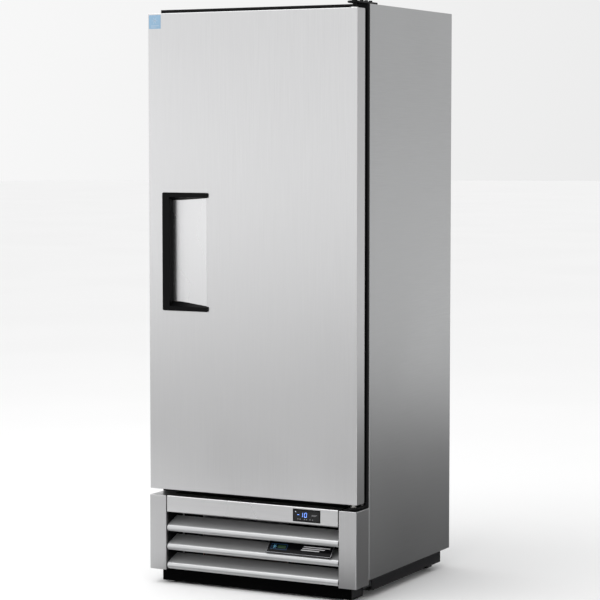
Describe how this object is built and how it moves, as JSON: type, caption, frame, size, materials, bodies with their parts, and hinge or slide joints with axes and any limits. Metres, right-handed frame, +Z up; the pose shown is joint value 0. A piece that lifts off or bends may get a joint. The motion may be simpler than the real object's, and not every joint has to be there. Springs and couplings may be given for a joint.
{
  "type": "reach in refrigerator",
  "caption": "Upright reach-in refrigerator with a solid stainless door, recessed black handle, louvered grille, digital controller, wire shelves and a condensing unit in its base.",
  "frame": {"origin": "on the floor, under the middle of the object's box", "axes": "+Z up, -Y out of the door, +X towards the hinge side"},
  "size_m": [0.632, 0.604, 1.581],
  "materials": {
    "stainless": "satin",
    "side_aluminium": "satin",
    "galvanised": "satin",
    "liner_aluminium": "satin",
    "fins": "satin",
    "black_plastic": "matte",
    "black_paint": "satin",
    "gloss_black": "gloss",
    "white_plastic": "satin",
    "lamp_diffuser": "satin",
    "shelf_coat": "satin",
    "rubber": "matte",
    "zinc": "satin",
    "foam": "matte",
    "copper": "satin",
    "label": "satin"
  },
  "bodies": {
    "cabinet": {"side_panel_left": "side_aluminium", "side_panel_right": "side_aluminium", "top_panel": "side_aluminium", "back_panel": "galvanised", "deck_plate": "galvanised", "cabinet_foam": "foam", "interior_liner": "liner_aluminium", "floor_pan": "stainless", "breaker_strip_left": "black_plastic", "breaker_strip_right": "black_plastic", "breaker_strip_top": "black_plastic", "breaker_strip_bottom": "black_plastic", "rear_guard": "galvanised", "cord_inlet": "black_plastic", "base_rail_left": "black_paint", "base_rail_right": "black_paint", "crossmember_front": "black_paint", "crossmember_rear": "black_paint", "grille_post_left": "stainless", "grille_post_right": "stainless", "grille_header": "stainless", "louver_top": "stainless", "louver_middle": "stainless", "louver_bottom": "stainless", "nameplate": "gloss_black", "controller_body": "black_plastic", "controller_window": "gloss_black", "top_hinge_bracket": "black_paint", "bottom_hinge_bracket": "black_paint", "pilaster_front_left": "liner_aluminium", "pilaster_front_right": "liner_aluminium", "pilaster_rear_left": "liner_aluminium", "pilaster_rear_right": "liner_aluminium", "lamp_housing": "white_plastic", "lamp_lens": "lamp_diffuser", "evaporator_cover": "liner_aluminium", "evaporator_coil": "fins", "evaporator_motor": "black_paint", "unit_base": "galvanised", "condenser_coil": "fins", "fan_shroud": "black_paint", "condenser_motor": "black_paint", "compressor": "black_paint", "condensate_pan": "black_plastic"},
    "door": {"door_skin": "stainless", "door_liner": "liner_aluminium", "door_foam": "foam", "door_closer": "zinc", "door_gasket": "rubber", "door_handle": "black_plastic", "handle_pocket": "stainless"},
    "evaporator_fan": {"evaporator_fan": "black_plastic"},
    "condenser_fan": {"condenser_fan": "black_plastic"},
    "shelf_lower": {"shelf_lower": "shelf_coat"},
    "shelf_middle": {"shelf_middle": "shelf_coat"},
    "shelf_upper": {"shelf_upper": "shelf_coat"},
    "foot_front_left": {"foot_front_left": "zinc"},
    "foot_front_right": {"foot_front_right": "zinc"},
    "foot_rear_left": {"foot_rear_left": "zinc"},
    "foot_rear_right": {"foot_rear_right": "zinc"}
  },
  "joints": [
    {"name": "door_hinge", "type": "hinge", "parent": "cabinet", "child": "door", "pos_m": [0.297, -0.278, 0.9], "axis": [0, 0, 1], "range_deg": [0, 120], "stiffness_Nm_per_rad": 1.2, "springref_deg": -20.05},
    {"name": "evaporator_fan_spin", "type": "hinge", "parent": "cabinet", "child": "evaporator_fan", "pos_m": [0, 0.115, 1.45], "axis": [0, 1, 0], "continuous": true},
    {"name": "condenser_fan_spin", "type": "hinge", "parent": "cabinet", "child": "condenser_fan", "pos_m": [-0.07, -0.106, 0.144], "axis": [0, 1, 0], "continuous": true},
    {"name": "shelf_lower_lift", "type": "slide", "parent": "cabinet", "child": "shelf_lower", "axis": [0, 0, 1], "range_m": [0, 0.025]},
    {"name": "shelf_middle_lift", "type": "slide", "parent": "cabinet", "child": "shelf_middle", "axis": [0, 0, 1], "range_m": [0, 0.025]},
    {"name": "shelf_upper_lift", "type": "slide", "parent": "cabinet", "child": "shelf_upper", "axis": [0, 0, 1], "range_m": [0, 0.025]},
    {"name": "foot_front_left_level", "type": "slide", "parent": "cabinet", "child": "foot_front_left", "axis": [0, 0, -1], "range_m": [0, 0.018]},
    {"name": "foot_front_right_level", "type": "slide", "parent": "cabinet", "child": "foot_front_right", "axis": [0, 0, -1], "range_m": [0, 0.018]},
    {"name": "foot_rear_left_level", "type": "slide", "parent": "cabinet", "child": "foot_rear_left", "axis": [0, 0, -1], "range_m": [0, 0.018]},
    {"name": "foot_rear_right_level", "type": "slide", "parent": "cabinet", "child": "foot_rear_right", "axis": [0, 0, -1], "range_m": [0, 0.018]}
  ]
}
